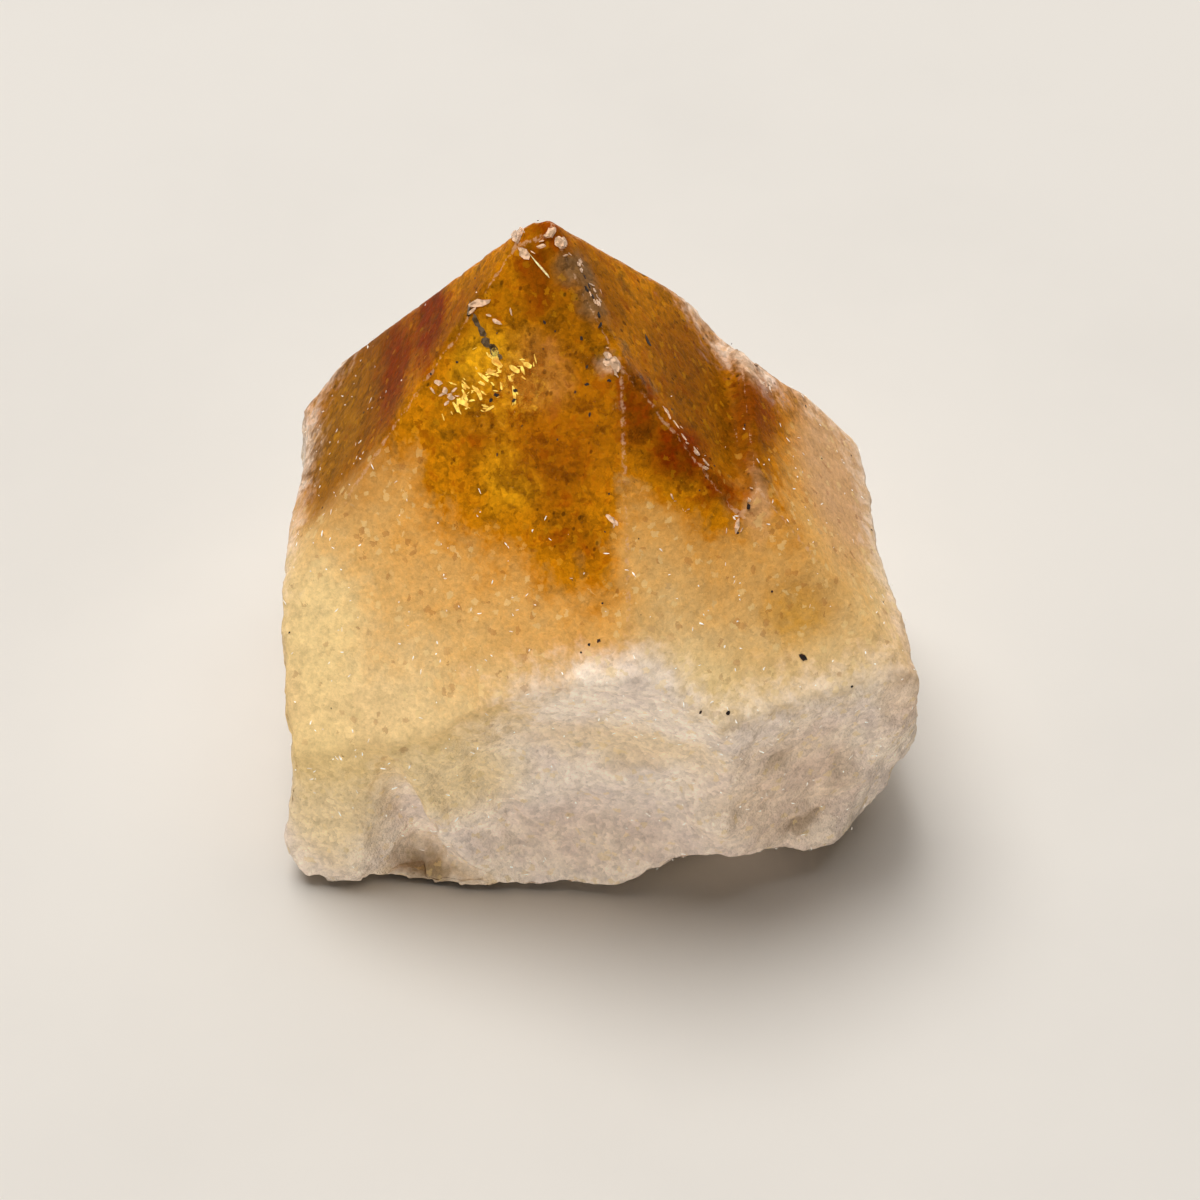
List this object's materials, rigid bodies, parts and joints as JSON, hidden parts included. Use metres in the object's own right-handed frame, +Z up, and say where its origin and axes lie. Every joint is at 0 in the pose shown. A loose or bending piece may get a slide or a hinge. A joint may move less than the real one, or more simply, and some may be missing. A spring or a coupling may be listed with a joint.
{
  "type": "citrine crystal point",
  "caption": "Single citrine crystal point: a clear amber six-faced quartz pyramid that fades to a cloudy honey middle and a white broken base, resting on a flat.",
  "frame": {"origin": "middle of the underside: the centre of the bounding box in X and Y, on the surface that the stone rests on", "axes": "+Z up through the tip, -Y towards the front with its two large pyramid faces, +X towards the side with the growth step, along the longest extent"},
  "size_m": [0.0562, 0.0504, 0.054],
  "materials": {
    "citrine": "glassy natural crystal faces, clear amber at the tip, cloudy honey in the middle, milky white and sugary where it was broken"
  },
  "bodies": {
    "root": {"citrine_crystal": "citrine"}
  },
  "joints": []
}
